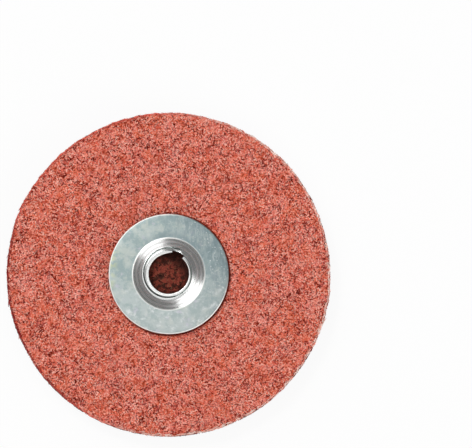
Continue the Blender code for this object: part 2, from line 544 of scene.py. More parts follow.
@dataclass(frozen=True)
class ZincFinish:
    """Zinc plate: mottled and scuffed on the flat flange, burnished on the drawn boss and on its edges, with
    painted shade and painted light on the flange and painted highlights on its edges.
    """

    name: str = "zinc_plate"
    plate: Colour = (0.40, 0.460, 0.450)
    green: Colour = (0.30, 0.375, 0.370)
    warm: Colour = (0.51, 0.545, 0.50)
    lilac: Colour = (0.48, 0.47, 0.54)
    stain: Colour = (0.50, 0.53, 0.30)
    # Painted shade: a dark colour for the flange's shaded side and the boss's shadow.
    painted_shade: Colour = (0.19, 0.25, 0.265)
    bright: Colour = (0.80, 0.81, 0.80)
    smoky: Colour = (0.52, 0.48, 0.49)
    # Wear and painted highlight: the pale colour of the edges.
    worn_and_highlit: Colour = (0.92, 0.92, 0.89)
    # A dark colour painted along the spiral crease.
    crease_dark: Colour = (0.13, 0.15, 0.14)
    boss_radius: float = 0.00845
    socket_radius: float = 0.0047
    flange_top: float = 0.0080
    boss_shadow: Band = (0.0104, 0.0088, 1.0)
    line: float = 0.00022
    mottle: Patches = Patches(0.0030, 0.44, 0.56, detail=6.0, roughness=0.75)
    warmth: Patches = Patches(0.0030, 0.50, 0.66, 0.7, 4.0, 0.65, 4.2)
    bloom: Patches = Patches(0.0030, 0.56, 0.70, 1.0, 5.0, 0.7, 8.5)
    clouding: Patches = Patches(0.0009, 0.42, 0.58, 0.42, 4.0, 0.7, 29.0, (1.0, 3.0, 1.0))
    spotting: Patches = Patches(0.0016, 0.42, 0.56, 0.55)
    scuffs: Patches = Patches(0.00024, 0.68, 0.78, 0.4, seed=2.0, stretch=(14.0, 1.0, 1.0))
    cross_scuffs: Patches = Patches(0.00024, 0.68, 0.78, 0.4, seed=9.0, stretch=(1.0, 11.0, 1.0))
    smears: Patches = Patches(0.0018, 0.49, 0.74, 1.0, 6.0, 0.72, 12.0)
    specks: Patches = Patches(0.0005, 0.66, 0.73, 0.6, 1.0, seed=25.0)
    streaks: Patches = Patches(0.0007, 0.52, 0.66, 0.22, 3.0, 0.7, 27.0, (1.0, 4.0, 1.0))
    crease_patches: Patches = Patches(0.0018, 0.20, 0.42, seed=33.0)
    dents: Patches = Patches(0.0011, seed=6.0)
    drawing: Rings = Rings(0.00050, 3.0, 0.0003)
    smoked: Band = (0.52, 0.66, 0.28)
    dulled: Band = (0.48, 0.66, 0.15)
    # Painted shade: the direction in which the flange's painted shade grows.
    shaded_flank: Sweep = Sweep((1.0, 0.6, 0.0), -0.001, 0.0150)
    far_side: Sweep = Sweep((-1.0, 0.3, 0.0), 0.002, 0.013, 0.10)
    behind_boss: Sweep = Sweep((0.45, 1.0, 0.0), 0.003, 0.009, 0.6)
    left_end: Sweep = Sweep((-1.0, 0.1, 0.0), 0.0117, 0.0134)
    lit_lower_side: Sweep = Sweep((0.1, -1.0, 0.0), -0.004, 0.012)
    # Painted highlight: the rim's highlight fades out on its shaded side.
    rim_in_shade: Sweep = Sweep((1.0, 0.6, 0.0), 0.006, 0.012, 0.95)
    relief: float = 0.00006

    def crease(self, recipe: Recipe) -> Signal:
        """The share of a dark colour painted in patches along the spiral crease beside the lip."""
        climb = recipe.turned(SLIT_ANGLE)
        middle = climb * (CREASE_INNER - CREASE_OUTER) + CREASE_OUTER
        lying = (recipe.radius() - middle).size().between(0.00024, 0.00010)
        return lying * climb.between(1.0, 0.85) * recipe.patched(self.crease_patches)

    def plated(self, recipe: Recipe, mottle: Signal) -> bpy.types.NodeSocket:
        """The flange's plate, mottled, with a painted shade on its upper right side and a little on its left,
        and a painted shadow just above the boss.

        Args:
            recipe: The plate's material.
            mottle: The noise that mottles it.

        Returns:
            The socket with the colour.
        """
        tint = recipe.blend(mottle.between(self.mottle.low, self.mottle.high), self.plate, self.green)
        tint = recipe.blend(recipe.patched(self.warmth), tint, self.warm)
        tint = recipe.blend(recipe.patched(self.bloom), tint, self.lilac)
        uneven = recipe.patched(self.clouding) + (1.0 - self.clouding.strength)
        # Painted shade: the plate darkens in patches towards its upper right, and a little towards its left.
        flank_shade = recipe.swept(self.shaded_flank) * uneven + recipe.swept(self.far_side)
        tint = recipe.blend(flank_shade, tint, self.painted_shade)
        shadow = recipe.swept(self.behind_boss) * recipe.radius().between(*self.boss_shadow)
        tint = recipe.blend(shadow, tint, self.painted_shade)
        return recipe.blend(recipe.swept(self.left_end) * recipe.patched(self.spotting), tint, self.stain)

    def scuffed(self, recipe: Recipe, tint: object, scuffs: Signal, flange: Signal) -> bpy.types.NodeSocket:
        """The flange's wear and painted light: a painted light towards the lower side, scuffs all over it,
        smears that grow stronger towards the lower side, and specks and streaks on its shaded side.

        Args:
            recipe: The plate's material.
            tint: The socket with the plate's colour.
            scuffs: The noise that scuffs it.
            flange: The share of a point that lies on the flange.

        Returns:
            The socket with the scuffed colour, painted lighter towards the lower side.
        """
        below = recipe.swept(self.lit_lower_side)
        # Painted light: the plate grows brighter towards its lower side.
        tint = recipe.blend(below * 0.16, tint, self.bright)
        lines = scuffs.between(self.scuffs.low, self.scuffs.high, self.scuffs.strength)
        marks = lines + recipe.patched(self.cross_scuffs)
        smears = recipe.patched(self.smears) * (below * 0.7 + 0.1)
        nicks = (recipe.patched(self.specks) + recipe.patched(self.streaks)) * recipe.swept(self.shaded_flank)
        return recipe.blend((marks + smears + nicks) * flange, tint, self.bright)

    def rim(self, recipe: Recipe) -> Signal:
        """The share of wear and painted highlight on the flange's upper corner, which fades out on its shaded
        side.
        """
        line = self.line
        corner = recipe.radius().between(HUB_RADIUS - 1.5 * line, HUB_RADIUS - 0.9 * line)
        upper = recipe.along((0.0, 0.0, 1.0)).between(self.flange_top - 2.0 * line, self.flange_top - line)
        return corner * upper * (1.0 - recipe.swept(self.rim_in_shade))

    def edges(self, recipe: Recipe, rim: Signal) -> Signal:
        """The share of wear and painted highlight on all edges: the rim, the socket's mouth and the boss's
        foot.

        Args:
            recipe: The plate's material.
            rim: The share of wear on the rim.

        Returns:
            The share at each point.
        """
        radius, line = recipe.radius(), self.line
        mouth = radius.between(self.socket_radius + 1.3 * line, self.socket_radius + 0.7 * line)
        inside = radius.between(self.boss_radius - 1.2 * line, self.boss_radius - 0.6 * line)
        outside = radius.between(self.boss_radius + 0.7 * line, self.boss_radius + 0.2 * line)
        return rim + mouth + inside * outside

    def material(self) -> bpy.types.Material:
        """Makes the plate's material."""
        recipe = Recipe(self.name)
        flange = recipe.radius().between(self.boss_radius - 0.0001, self.boss_radius + 0.0003)
        mottle, scuffs, dents = (recipe.cloud(n) for n in (self.mottle, self.scuffs, self.dents))
        rings = recipe.rings(self.drawing)
        rim = self.rim(recipe)
        edges = self.edges(recipe, rim)
        flat = self.scuffed(recipe, self.plated(recipe, mottle), scuffs, flange)
        drawn = recipe.blend(rings.between(*self.smoked), self.bright, self.smoky)
        # The spiral crease is painted darker, in patches.
        drawn = recipe.blend(self.crease(recipe), drawn, self.crease_dark)
        flat_rough = (mottle * 0.2 + 0.10) * flange
        drawn_rough = rings.between(*self.dulled) * (1.0 - flange)
        recipe.set(
            # Wear and painted highlight: the edges turn pale, and the rim less metallic, for wear and for the
            # light they catch.
            Base_Color=recipe.blend(edges, recipe.blend(flange, drawn, flat), self.worn_and_highlit),
            Metallic=1.0 - rim * 0.6,
            Roughness=flat_rough + drawn_rough + edges * 0.1 + 0.27,
        )
        flat_relief = (mottle * 0.7 + scuffs * 0.1 + dents * 0.2) * flange
        drawn_relief = (rings * 0.45 + dents * 0.2) * (1.0 - flange)
        recipe.roughen(flat_relief + drawn_relief, self.relief)
        return recipe.material


@dataclass(frozen=True)
class ResinFinish:
    """Set resin or adhesive, glossy and a little uneven."""

    name: str
    colour: Colour
    thick: Colour
    roughness: float = 0.3
    lump: float = 0.0006
    uneven_by: float = 0.3
    lump_depth: float = 0.00008

    def material(self) -> bpy.types.Material:
        """Makes the resin's material."""
        recipe = Recipe(self.name)
        lumps = recipe.cloud(Patches(self.lump, detail=3.0))
        recipe.set(
            Base_Color=recipe.blend(lumps.between(0.4, 0.6), self.colour, self.thick),
            Roughness=lumps * self.uneven_by + (self.roughness - self.uneven_by / 2),
        )
        recipe.roughen(lumps, self.lump_depth)
        return recipe.material


@dataclass(frozen=True)
class WebCoreFinish:
    """The web's inside: a close net of coated fibres over voids that hardly any light reaches."""

    name: str = "web_core_resin"
    void: Colour = (0.012, 0.005, 0.005)
    far: Colour = (0.055, 0.022, 0.020)
    near: Colour = (0.115, 0.052, 0.046)
    mesh: float = 0.0011
    strand: float = 0.030
    depth: float = 0.00015

    def material(self) -> bpy.types.Material:
        """Makes the core's material."""
        recipe = Recipe(self.name)
        far = recipe.net(self.mesh * 0.8, self.strand, 2.0) + recipe.net(self.mesh, self.strand, 6.0)
        near = recipe.net(self.mesh * 1.3, self.strand, 11.0) + recipe.net(self.mesh * 1.2, self.strand, 17.0)
        recipe.set(
            Base_Color=recipe.blend(near, recipe.blend(far, self.void, self.far), self.near),
            Roughness=0.8,
            Specular_IOR_Level=0.2,
        )
        recipe.roughen(far * 0.4 + near * 0.6, self.depth)
        return recipe.material


def deselect_all() -> None:
    """Leaves object mode with nothing selected."""
    if bpy.context.mode != "OBJECT":
        bpy.ops.object.mode_set(mode="OBJECT")
    bpy.ops.object.select_all(action="DESELECT")


def pick(piece: bpy.types.Object) -> bpy.types.Object:
    """Selects one object alone and makes it active."""
    deselect_all()
    piece.select_set(True)
    bpy.context.view_layer.objects.active = piece
    return piece


def named(name: str) -> bpy.types.Object:
    """Names the object that an operator has just added."""
    piece = bpy.context.active_object
    piece.name = name
    piece.data.name = name
    return piece


def placed(name: str, data: bpy.types.ID) -> bpy.types.Object:
    """Adds an object with the given data to the scene."""
    piece = bpy.data.objects.new(name, data)
    bpy.context.scene.collection.objects.link(piece)
    return piece


def polar(radius: float, angle: float, height: float) -> Vector:
    """The point at a radius, an azimuth and a height."""
    return Vector((radius * math.cos(angle), radius * math.sin(angle), height))


def choose(piece: bpy.types.Object, domain: str, wanted: Callable[[object], bool]) -> int:
    """Selects some of a mesh's vertices, edges or faces, and nothing else.

    Args:
        piece: The object, in object mode.
        domain: One of vertices, edges and polygons.
        wanted: Says whether an element is selected.

    Returns:
        How many elements were selected.
    """
    for group in (piece.data.vertices, piece.data.edges, piece.data.polygons):
        group.foreach_set("select", [False] * len(group))
    chosen = [wanted(element) for element in getattr(piece.data, domain)]
    getattr(piece.data, domain).foreach_set("select", chosen)
    if domain != "vertices":
        for element in getattr(piece.data, domain):
            if element.select:
                for v in element.vertices:
                    piece.data.vertices[v].select = True
    return sum(chosen)


def close_up(piece: bpy.types.Object, merge: float = 1e-7) -> None:
    """Merges a mesh's doubled points and turns its faces outwards.

    Args:
        piece: The object.
        merge: The distance within which points are one.
    """
    pick(piece)
    bpy.ops.object.mode_set(mode="EDIT")
    bpy.ops.mesh.select_all(action="SELECT")
    bpy.ops.mesh.remove_doubles(threshold=merge)
    bpy.ops.mesh.normals_make_consistent(inside=False)
    bpy.ops.object.mode_set(mode="OBJECT")


def dress(
    piece: bpy.types.Object,
    material: bpy.types.Material,
    node: str | None = None,
    sharp_above: float = math.radians(180.0),
) -> bpy.types.Object:
    """Finishes a piece and ties it to the frame.

    Args:
        piece: The finished mesh object.
        material: What it is made of.
        node: The node that it stands for, if it stands for one.
        sharp_above: The angle above which an edge is shaded sharp.

    Returns:
        The same piece.
    """
    pick(piece)
    bpy.ops.object.transform_apply(location=True, rotation=True, scale=True)
    bpy.ops.object.shade_smooth_by_angle(angle=sharp_above)
    piece.data.materials.clear()
    piece.data.materials.append(material)
    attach(piece, BODY)
    if node:
        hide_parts(node)
    triangles = sum(len(face.vertices) - 2 for face in piece.data.polygons)
    log.info("%s: %d triangles", piece.name, triangles)
    return piece


@dataclass(frozen=True)
class Corner:
    """One corner of a turned section, and how it is rounded."""

    radius: float
    height: float
    rounding: float = 0.0
    steps: int = 6

    def towards(self, other: "Corner") -> float:
        """The direction from this corner to another, as an angle in the section's plane."""
        return math.atan2(other.height - self.height, other.radius - self.radius)

    def arc(self, before: "Corner", after: "Corner") -> list[tuple[float, float]]:
        """The points that round the corner off.

        Args:
            before: The corner ahead of this one.
            after: The corner that follows.

        Returns:
            Radius and height of each point, in order.
        """
        if not self.rounding:
            return [(self.radius, self.height)]
        to_before, to_after = self.towards(before), self.towards(after)
        opening = (to_after - to_before + math.pi) % TURN - math.pi
        middle = to_before + opening / 2
        reach = self.rounding / math.sin(abs(opening) / 2)
        centre = (self.radius + reach * math.cos(middle), self.height + reach * math.sin(middle))
        sweep = math.copysign(math.pi - abs(opening), -opening)
        first = middle + math.pi - sweep / 2
        angles = [first + sweep * k / self.steps for k in range(self.steps + 1)]
        return [
            (centre[0] + self.rounding * math.cos(a), centre[1] + self.rounding * math.sin(a))
            for a in angles
        ]


def turn_section(name: str, corners: Sequence[Corner], steps: int) -> bpy.types.Object:
    """Turns a closed section round the Z axis, ring by ring.

    Args:
        name: The new object's name.
        corners: The section's corners in order.
        steps: How many sides the turned piece has.

    Returns:
        The turned piece, closed and facing out.
    """
    points: list[tuple[float, float]] = []
    for k, corner in enumerate(corners):
        points += corner.arc(corners[k - 1], corners[(k + 1) % len(corners)])
    deselect_all()
    radius, height = points[0]
    bpy.ops.mesh.primitive_circle_add(vertices=steps, radius=radius, location=(0.0, 0.0, height))
    piece = named(name)
    bpy.ops.object.transform_apply(location=True, rotation=False, scale=False)
    bpy.ops.object.mode_set(mode="EDIT")
    bpy.ops.mesh.select_all(action="SELECT")
    for next_radius, next_height in [*points[1:], points[0]]:
        rise = (0.0, 0.0, next_height - height)
        bpy.ops.mesh.extrude_edges_move(TRANSFORM_OT_translate={"value": rise})
        grow = next_radius / radius
        bpy.ops.transform.resize(value=(grow, grow, 1.0), center_override=(0.0, 0.0, next_height))
        radius, height = next_radius, next_height
    bpy.ops.object.mode_set(mode="OBJECT")
    close_up(piece, 1e-6)
    return piece


@dataclass
class ThreadedHub:
    """The stamped steel hub: a flat flange, a drawn boss, and a slit lip bent into one turn of thread."""

    sheet: float = 0.0007
    base_radius: float = 0.00845
    top_radius: float = 0.0062
    boss_height: float = 0.0019
    socket_radius: float = 0.0047
    base_fillet: float = 0.00045
    shoulder: float = 0.0009
    rim_round: float = 0.00025
    lip_round: float = 0.00016
    bend_share: float = 0.67
    thread_pitch: float = 0.0012
    slit_width: float = 0.0026
    slit_reach: float = 0.0008
    crease_width: float = 0.00022
    crease_depth: float = 0.00015
    eased_share: float = 0.42
    eased_turn: float = 0.09
    dish: float = 0.00012
    steps: int = 288
    lip_rings: int = 16
    flange_rings: int = 8
    finish: ZincFinish = ZincFinish()

    def __post_init__(self) -> None:
        """Takes the hub's place and outer size from the frame."""
        low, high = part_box("metal_hub")
        self.rim_radius = high.x
        self.bottom = low.z
        self.flange_top = low.z + self.sheet
        self.top = self.flange_top + self.boss_height

    def corners(self) -> list[Corner]:
        """The section of the sheet, from the rim in to the socket and back underneath."""
        slope = math.atan2(self.boss_height, self.base_radius - self.top_radius)
        half_slope = math.tan(slope / 2)
        inset = self.sheet * half_slope
        under = self.top - self.sheet
        flat_from = self.top_radius - self.shoulder * half_slope
        edge = self.socket_radius + self.lip_round
        rings = [flat_from + (edge - flat_from) * k / self.lip_rings for k in range(self.lip_rings)]
        inner_flat = self.base_radius + self.base_fillet
        plate = [
            self.rim_radius - self.rim_round + (inner_flat - self.rim_radius) * k / self.flange_rings
            for k in range(1, self.flange_rings)
        ]
        upper = [
            Corner(self.rim_radius, self.flange_top, self.rim_round),
            *[Corner(r, self.flange_top) for r in plate],
            Corner(self.base_radius, self.flange_top, self.base_fillet, 8),
            Corner(self.top_radius, self.top, self.shoulder, 12),
            *[Corner(r, self.top) for r in rings],
            Corner(self.socket_radius, self.top, self.lip_round),
        ]
        lower = [
            Corner(self.socket_radius, under, self.lip_round),
            *[Corner(r, under) for r in reversed(rings) if r < self.top_radius - inset - self.lip_round],
            Corner(self.top_radius - inset, under, self.shoulder - self.sheet),
            Corner(self.base_radius - inset, self.bottom, self.base_fillet + self.sheet, 8),
            Corner(self.rim_radius, self.bottom, self.rim_round),
        ]
        return upper + lower

    def half_slit(self, radius: float) -> float:
        """Half the angle that the slit takes at a radius."""
        return math.asin(min(self.slit_width / 2 / radius, 1.0))

    def past_slit(self, point: Vector) -> float:
        """How far round from the slit's middle a point lies, anticlockwise, from 0 to a full turn."""
        return (math.atan2(point.y, point.x) - SLIT_ANGLE) % TURN

    def cut_slit(self, piece: bpy.types.Object) -> None:
        """Opens the slit through the lip and closes the sheet's cut edges.

        Args:
            piece: The turned hub.
        """
        reach = self.socket_radius + self.slit_reach
        half = self.half_slit(self.socket_radius)

        def in_slit(face: bpy.types.MeshPolygon) -> bool:
            """Whether a face lies in the slit."""
            past = self.past_slit(face.center)
            near = min(past, TURN - past) < half
            return near and face.center.xy.length < reach and face.center.z > self.flange_top

        choose(piece, "polygons", in_slit)
        pick(piece)
        bpy.ops.object.mode_set(mode="EDIT")
        bpy.ops.mesh.select_mode(type="FACE")
        bpy.ops.mesh.delete(type="FACE")
        bpy.ops.mesh.select_mode(type="EDGE")
        bpy.ops.object.mode_set(mode="OBJECT")
        rims = bmesh.new()
        rims.from_mesh(piece.data)
        open_edges = {e.index for e in rims.edges if e.is_boundary}
        outer = max(v.co.xy.length for e in rims.edges if e.is_boundary for v in e.verts)
        rims.free()

        def on_outer_arc(edge: bpy.types.MeshEdge) -> bool:
            """Whether an edge runs round the slit's outer end."""
            ends = [piece.data.vertices[v].co.xy.length for v in edge.vertices]
            return edge.index in open_edges and min(ends) > outer - self.lip_round / 2

        log.info("slit: %d outer edges", choose(piece, "edges", on_outer_arc))
        bpy.ops.object.mode_set(mode="EDIT")
        bpy.ops.mesh.bridge_edge_loops()
        bpy.ops.mesh.select_all(action="SELECT")
        bpy.ops.mesh.fill_holes(sides=0)
        bpy.ops.mesh.normals_make_consistent(inside=False)
        bpy.ops.mesh.select_mode(type="VERT")
        bpy.ops.object.mode_set(mode="OBJECT")

    def climbed(self, point: Vector) -> float:
        """How far round its turn the lip is: 0 at the slit's low side, 1 at its high side."""
        half = self.half_slit(self.socket_radius)
        past = self.past_slit(point)
        if past < half:
            return (1.0 - past / half) / 2
        if TURN - past < half:
            return (1.0 + (TURN - past) / half) / 2
        return (past - half) / (TURN - 2 * half)

    def crease(self, radius: float, climb: float) -> float:
        """How deep the spiral crease is that the bending tool leaves beside the lip.

        Args:
            radius: The point's distance from the axis.
            climb: How far round its turn the lip is there.

        Returns:
            The crease's depth at the point.
        """
        middle = CREASE_OUTER + (CREASE_INNER - CREASE_OUTER) * climb
        away = min(abs(radius - middle) / self.crease_width, 1.0)
        fade = min(climb / 0.04, (1.0 - climb) / 0.25, 1.0)
        return self.crease_depth * fade * (1.0 + math.cos(math.pi * away)) / 2

    def eased(self, radius: float, climb: float) -> float:
        """How far the slit's low end is drawn outwards, so that the socket's edge runs into the slit.

        Args:
            radius: The point's distance from the axis.
            climb: How far round its turn the lip is there.

        Returns:
            The distance outwards.
        """
        near_end = max(1.0 - climb / self.eased_turn, 0.0) ** 2
        near_edge = max(1.0 - (radius - self.socket_radius) / (1.4 * self.slit_reach), 0.0) ** 2
        return self.eased_share * self.slit_reach * near_end * near_edge

    def shape(self, piece: bpy.types.Object) -> None:
        """Bends the lip into one turn of right-hand thread, and dishes the flange a little.

        Args:
            piece: The slit hub.
        """
        bend = self.bend_share * (self.top_radius - self.socket_radius)
        flat = self.rim_radius - self.base_radius
        for vertex in piece.data.vertices:
            radius = vertex.co.xy.length
            if radius < self.base_radius - self.base_fillet and vertex.co.z > self.top - self.sheet:
                vertex.co.z -= self.crease(radius, self.climbed(vertex.co))
            if radius < self.top_radius:
                climb = self.climbed(vertex.co)
                share = min((self.top_radius - radius) / bend, 1.0)
                share = share * share * (3.0 - 2.0 * share)
                vertex.co.z += self.thread_pitch * (climb - 0.5) * share
                vertex.co.xy *= 1.0 + self.eased(radius, climb) / radius
            elif radius > self.base_radius and vertex.co.z > self.flange_top - self.sheet / 2:
                vertex.co.z -= self.dish * ((radius - self.base_radius) / flat) ** 2

    def build(self) -> list[bpy.types.Object]:
        """Makes the hub and dresses it."""
        piece = turn_section("hub", self.corners(), self.steps)
        self.cut_slit(piece)
        self.shape(piece)
        return [dress(piece, self.finish.material(), "metal_hub", math.radians(40.0))]


@dataclass
class Strands:
    """A bundle of loose fibres that ends as one mesh."""

    name: str
    width: float
    sides: int = 3
    paths: list[tuple[Path, float]] = field(default_factory=list)

    def add(self, path: Path, thickness: float = 1.0) -> None:
        """Adds one fibre.

        Args:
            path: Its points in order.
            thickness: Its width as a share of the bundle's width.
        """
        self.paths.append((path, thickness))

    def build(self) -> bpy.types.Object:
        """Sweeps a small ring along every path and makes one closed mesh of all of them."""
        deselect_all()
        bpy.ops.mesh.primitive_circle_add(vertices=self.sides, radius=self.width / 2)
        ring = named(self.name + "_ring")
        bpy.ops.object.convert(target="CURVE")
        curve = bpy.data.curves.new(self.name, "CURVE")
        curve.dimensions = "3D"
        curve.bevel_mode = "OBJECT"
        curve.bevel_object = ring
        curve.use_fill_caps = True
        for path, thickness in self.paths:
            spline = curve.splines.new("POLY")
            spline.points.add(len(path) - 1)
            spline.points.foreach_set("co", [c for p in path for c in (p.x, p.y, p.z, 1.0)])
            taper = [thickness] * len(path)
            taper[0] = taper[-1] = thickness * 0.55
            spline.points.foreach_set("radius", taper)
        piece = pick(placed(self.name, curve))
        bpy.ops.object.convert(target="MESH")
        bpy.data.objects.remove(ring, do_unlink=True)
        close_up(piece)
        return piece


@dataclass
class Wander:
    """A fibre's walk: it steps forward, and its heading drifts as a crimped fibre's does."""

    step: float
    turn: float
    seed: random.Random

    def walk(self, start: tuple[float, float], count: int) -> list[tuple[float, float]]:
        """Walks on a flat sheet.

        Args:
            start: Where the fibre starts.
            count: How many points it has.

        Returns:
            The points in order.
        """
        heading = self.seed.uniform(0.0, TURN)
        bend = self.seed.gauss(0.0, self.turn)
        x, y = start
        points = [(x, y)]
        for _ in range(count - 1):
            bend = 0.75 * bend + self.seed.gauss(0.0, self.turn * 0.66)
            heading += bend
            x += self.step * math.cos(heading)
            y += self.step * math.sin(heading)
            points.append((x, y))
        return points


def somewhere(seed: random.Random, radius: float, inner: float = 0.0) -> tuple[float, float]:
    """A place at random on a disc, or on a ring."""
    r = math.sqrt(seed.uniform(inner * inner, radius * radius))
    a = seed.uniform(0.0, TURN)
    return r * math.cos(a), r * math.sin(a)


def filled_disc(
    name: str, radius: float, bottom: float, top: float, span: int, rows: int
) -> bpy.types.Object:
    """A disc whose lower face is a fine square grid, drawn up in rows to its top.

    Args:
        name: The new object's name.
        radius: Its radius.
        bottom: The height of its lower face.
        top: The height of its upper face.
        span: How many cells the grid has along each side.
        rows: How many rows its edge has.

    Returns:
        The disc, with fine grids on both faces.
    """
    deselect_all()
    bpy.ops.mesh.primitive_circle_add(vertices=4 * span, radius=radius, location=(0.0, 0.0, bottom))
    piece = named(name)
    bpy.ops.object.transform_apply(location=True, rotation=False, scale=False)
    bpy.ops.object.mode_set(mode="EDIT")
    bpy.ops.mesh.select_all(action="SELECT")
    bpy.ops.mesh.fill_grid(span=span)
    for _ in range(rows):
        rise = (0.0, 0.0, (top - bottom) / rows)
        bpy.ops.mesh.extrude_region_move(TRANSFORM_OT_translate={"value": rise})
    bpy.ops.mesh.select_all(action="SELECT")
    bpy.ops.mesh.normals_make_consistent(inside=False)
    bpy.ops.object.mode_set(mode="OBJECT")
    return piece


@dataclass
class FeltBacking:
    """The needled felt: a matted body, and the fibres that lie on it and stand out of its cut edge."""

    span: int = 120
    matting: float = 0.00012
    matting_grain: float = 0.0007
    matting_pull: float = 0.003
    corner_drop: float = 0.0001
    edge_setback: float = 0.00008
    edge_wobble: float = 0.00040
    edge_grain: float = 0.0016
    edge_sway: float = 0.00050
    edge_sway_grain: float = 0.011
    fringe_reach: float = 0.00032
    hub_inner: float = 0.0075
    hub_outer: float = 0.0132
    rim_margin: float = 0.0003
    overhang: float = 0.00012
    strand_width: float = 0.00022
    strand_step: float = 0.00042
    strand_points: tuple[int, int] = (3, 5)
    finish: FeltFinish = FeltFinish()
    fibres: tuple[tuple[FeltFibreFinish, int], ...] = (
        (FeltFibreFinish("felt_fibre_plain", (0.80, 0.181, 0.130), (0.83, 0.164, 0.094)), 2700),
        (FeltFibreFinish("felt_fibre_pale", (1.0, 0.57, 0.46), (1.0, 0.37, 0.28)), 4200),
        (FeltFibreFinish("felt_fibre_crimson", (0.54, 0.080, 0.072), (0.60, 0.120, 0.105)), 1300),
        (FeltFibreFinish("felt_fibre_deep", (0.175, 0.008, 0.003), (0.31, 0.028, 0.018)), 2750),
        (
            # Painted shade: the socket's fibres are drawn dark as its shade.
            FeltFibreFinish(
                "felt_fibre_darkened", (0.040, 0.016, 0.012), (0.54, 0.125, 0.085), 0.6, place=FibrePlace.SOCKET
            ),
            420,
        ),
        (
            # The fringe's pale colour stands partly for the light that its fibres catch.
            FeltFibreFinish("felt_fringe", (0.98, 0.80, 0.72), (0.97, 0.52, 0.43), place=FibrePlace.FRINGE),
            1600,
        ),
    )

    def __post_init__(self) -> None:
        """Takes the felt's place and size from the frame."""
        low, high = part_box("felt_backing")
        self.radius = high.x
        self.bottom = low.z
        self.top = high.z

    def cut_radius(self, angle: float) -> float:
        """The radius of the die-cut edge at an angle, which wanders a little as felt does."""
        rim = Vector((math.cos(angle), math.sin(angle), 0.3)) * self.radius
        ragged = self.edge_wobble * (0.5 + noise.noise(rim / self.edge_grain)) / 2
        swaying = self.edge_sway * (0.5 + noise.noise(rim / self.edge_sway_grain)) / 2
        return self.radius - self.edge_setback - ragged - swaying

    def body(self) -> bpy.types.Object:
        """The felt's matted body."""
        piece = filled_disc("felt_body", self.radius, self.bottom, self.top, self.span, 3)
        middle = (self.bottom + self.top) / 2
        for vertex in piece.data.vertices:
            place = vertex.co / self.matting_grain
            share = vertex.co.xy.length / self.radius
            angle = math.atan2(vertex.co.y, vertex.co.x)
            pulled = self.matting_pull * share * abs(noise.noise(place))
            vertex.co.xy *= self.cut_radius(angle) / self.radius - pulled
            if vertex.co.z > middle:
                vertex.co.z += self.matting * (noise.noise(place) - 0.3) - self.corner_drop * share**60
        return dress(piece, self.finish.material(), "felt_backing")

    def top_strand(self, chance: random.Random, darkened: bool) -> Path:
        """A fibre that lies on the felt and dips into it at both ends.

        Args:
            chance: Where its random draws come from.
            darkened: Whether it lies in the hub's socket, where the felt and its fibres are painted dark as
                shade.

        Returns:
            Its points in order.
        """
        count = chance.randint(*self.strand_points)
        ways = Wander(self.strand_step, 0.16, chance)
        lift = chance.uniform(-0.02, 1.0) * self.strand_width
        inner, outer = (0.0, self.hub_inner) if darkened else (self.hub_outer, self.radius - self.rim_margin)
        path = []
        for k, (x, y) in enumerate(ways.walk(somewhere(chance, outer, inner), count)):
            reach = math.hypot(x, y)
            limit = self.cut_radius(math.atan2(y, x)) + self.overhang
            if reach > limit:
                x, y = x * limit / reach, y * limit / reach
            arch = math.sin(math.pi * k / (count - 1))
            path.append(Vector((x, y, self.top + lift * arch - self.strand_width * (1.0 - arch))))
        return path

    def edge_strand(self, chance: random.Random) -> Path:
        """A fibre that lies along the cut edge."""
        count = chance.randint(*self.strand_points)
        ways = Wander(self.strand_step, 0.2, chance)
        start = (chance.uniform(0.0, TURN * self.radius), chance.uniform(self.bottom, self.top))
        path = []
        for along, height in ways.walk(start, count):
            angle = along / self.radius
            r = self.cut_radius(angle) + chance.uniform(-0.5, 0.6) * self.strand_width
            margin = self.strand_width / 2
            z = min(max(height, self.bottom + margin), self.top - margin)
            path.append(polar(r, angle, z))
        return path

    def corner_strand(self, chance: random.Random) -> Path:
        """A fibre that lies over the upper corner of the cut edge."""
        count = chance.randint(*self.strand_points)
        around = chance.uniform(0.0, TURN)
        inward = chance.uniform(-0.3, 1.3) * self.strand_width
        slant = chance.gauss(0.0, 0.22) * self.strand_width
        path = []
        for k in range(count):
            angle = around + k * self.strand_step / self.radius
            r = self.cut_radius(angle) - inward + slant * k
            arch = math.sin(math.pi * k / (count - 1))
            height = self.top + self.strand_width * (arch - 0.5)
            path.append(polar(r, angle, height))
        return path

    def fringe_strand(self, chance: random.Random) -> Path:
        """A fibre that stands out of the cut edge."""
        angle = chance.uniform(0.0, TURN)
        lean = chance.gauss(0.0, 0.006)
        height = self.top - self.strand_width * abs(chance.gauss(0.0, 1.6))
        root = self.cut_radius(angle) - self.fringe_reach
        tip = self.cut_radius(angle) + self.fringe_reach * chance.uniform(0.0, 1.0)
        path = []
        for share in (0.0, 0.5, 1.0):
            r = root + (tip - root) * share
            a = angle + lean * share
            path.append(polar(r, a, height))
        return path

    def build(self) -> list[bpy.types.Object]:
        """Makes the felt and its fibres."""
        pieces = [self.body()]
        for number, (finish, count) in enumerate(self.fibres):
            chance = random.Random(40 + number)
            strands = Strands(finish.name + "s", self.strand_width)
            fringe = finish.place is FibrePlace.FRINGE
            if not fringe:
                for _ in range(count):
                    path = self.top_strand(chance, finish.place is FibrePlace.SOCKET)
                    strands.add(path, chance.uniform(0.6, 1.35))
            if finish.place is FibrePlace.OPEN:
                for _ in range(count // 6):
                    strands.add(self.edge_strand(chance), chance.uniform(0.4, 0.9))
            if fringe:
                for _ in range(count):
                    strands.add(self.fringe_strand(chance), chance.uniform(0.3, 0.7))
                for _ in range(count // 2):
                    strands.add(self.corner_strand(chance), chance.uniform(0.5, 1.0))
            pieces.append(dress(strands.build(), finish.material()))
        return pieces


@dataclass(frozen=True)
class WebLayer:
    """One layer of the web's working face: its depth range in metres, its fibres and how dark they are."""

    name: str
    shallow: float
    deep: float
    fibres: int
    shade: float
    holds_grain: bool = True


